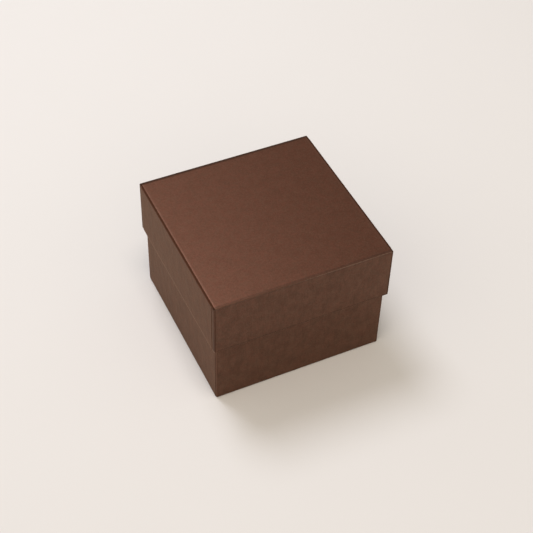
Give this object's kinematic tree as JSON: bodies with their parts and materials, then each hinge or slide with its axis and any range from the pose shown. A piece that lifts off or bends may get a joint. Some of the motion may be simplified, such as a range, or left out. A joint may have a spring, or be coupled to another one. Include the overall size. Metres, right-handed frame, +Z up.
{
  "type": "gift box with lift-off lid",
  "caption": "Square rigid box with a deep lift-off lid, wrapped in plain brown paper, with slotted dividers in two tiers inside.",
  "frame": {"origin": "middle of the underside, on the surface that the box stands on", "axes": "+Z up, the way the lid lifts; +X and +Y square to the walls, which are alike"},
  "size_m": [0.1274, 0.127, 0.091],
  "materials": {
    "brown_wrap_paper": "matt uncoated wrapping paper, finely mottled",
    "grey_board": "raw recycled greyboard",
    "kraft_tape": "gummed kraft tape",
    "cream_lining_paper": "matt cream paper",
    "divider_card": "dyed brown card"
  },
  "bodies": {
    "base": {"base_board": "grey_board", "base_corner_stay_front_right": "kraft_tape", "base_corner_stay_back_right": "kraft_tape", "base_corner_stay_back_left": "kraft_tape", "base_corner_stay_front_left": "kraft_tape", "base_wrap": "brown_wrap_paper", "base_bottom_sheet": "brown_wrap_paper", "base_lining": "cream_lining_paper", "upper_tier_card": "cream_lining_paper", "lower_divider_across_1": "divider_card", "lower_divider_across_2": "divider_card", "lower_divider_lengthwise_1": "divider_card", "lower_divider_lengthwise_2": "divider_card", "upper_divider_across_1": "divider_card", "upper_divider_across_2": "divider_card", "upper_divider_lengthwise_1": "divider_card", "upper_divider_lengthwise_2": "divider_card"},
    "lid": {"lid_board": "grey_board", "lid_corner_stay_front_right": "kraft_tape", "lid_corner_stay_back_right": "kraft_tape", "lid_corner_stay_back_left": "kraft_tape", "lid_corner_stay_front_left": "kraft_tape", "lid_wrap": "brown_wrap_paper", "lid_lining": "cream_lining_paper"}
  },
  "joints": [
    {"name": "lid_lift", "type": "slide", "parent": "base", "child": "lid", "axis": [0, 0, 1], "range_m": [0, 0.1]}
  ]
}
